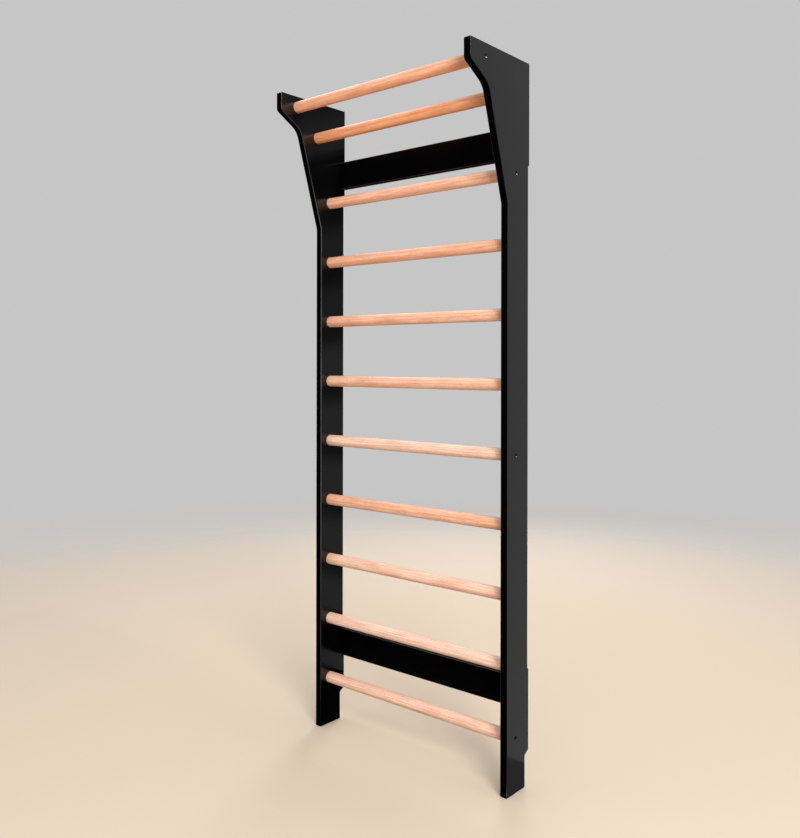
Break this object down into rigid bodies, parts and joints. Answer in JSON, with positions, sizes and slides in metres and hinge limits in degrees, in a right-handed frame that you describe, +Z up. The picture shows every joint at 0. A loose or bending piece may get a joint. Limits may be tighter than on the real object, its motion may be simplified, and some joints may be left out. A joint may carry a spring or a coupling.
{
  "type": "swedish wall bars",
  "caption": "Tall wall bars for climbing and stretching: black side panels with a flared head carry round wooden rungs, and flat rails behind the rungs meet the wall.",
  "frame": {"origin": "on the floor, under the middle of the overall width and the overall depth", "axes": "+Z up, +Y to the wall, X along the rungs; the climber stands at -Y"},
  "size_m": [0.8, 0.305, 2.182],
  "materials": {
    "black_paint": "satin black paint",
    "rung_wood": "fine sanded and clear oiled",
    "screw_steel": "black oxide",
    "dowel_wood": "raw"
  },
  "bodies": {
    "root": {"left_side_panel": "black_paint", "right_side_panel": "black_paint", "upper_rail": "black_paint", "lower_rail": "black_paint", "rung_01": "rung_wood", "rung_02": "rung_wood", "rung_03": "rung_wood", "rung_04": "rung_wood", "rung_05": "rung_wood", "rung_06": "rung_wood", "rung_07": "rung_wood", "rung_08": "rung_wood", "rung_09": "rung_wood", "rung_10": "rung_wood", "rung_11": "rung_wood", "left_screw_rung_01": "screw_steel", "left_screw_rung_03": "screw_steel", "left_screw_rung_07": "screw_steel", "left_screw_rung_11": "screw_steel", "right_screw_rung_01": "screw_steel", "right_screw_rung_03": "screw_steel", "right_screw_rung_07": "screw_steel", "right_screw_rung_11": "screw_steel", "left_upper_rail_dowel_top": "dowel_wood", "left_upper_rail_dowel_bottom": "dowel_wood", "left_lower_rail_dowel_top": "dowel_wood", "left_lower_rail_dowel_bottom": "dowel_wood", "right_upper_rail_dowel_top": "dowel_wood", "right_upper_rail_dowel_bottom": "dowel_wood", "right_lower_rail_dowel_top": "dowel_wood", "right_lower_rail_dowel_bottom": "dowel_wood"}
  },
  "joints": []
}
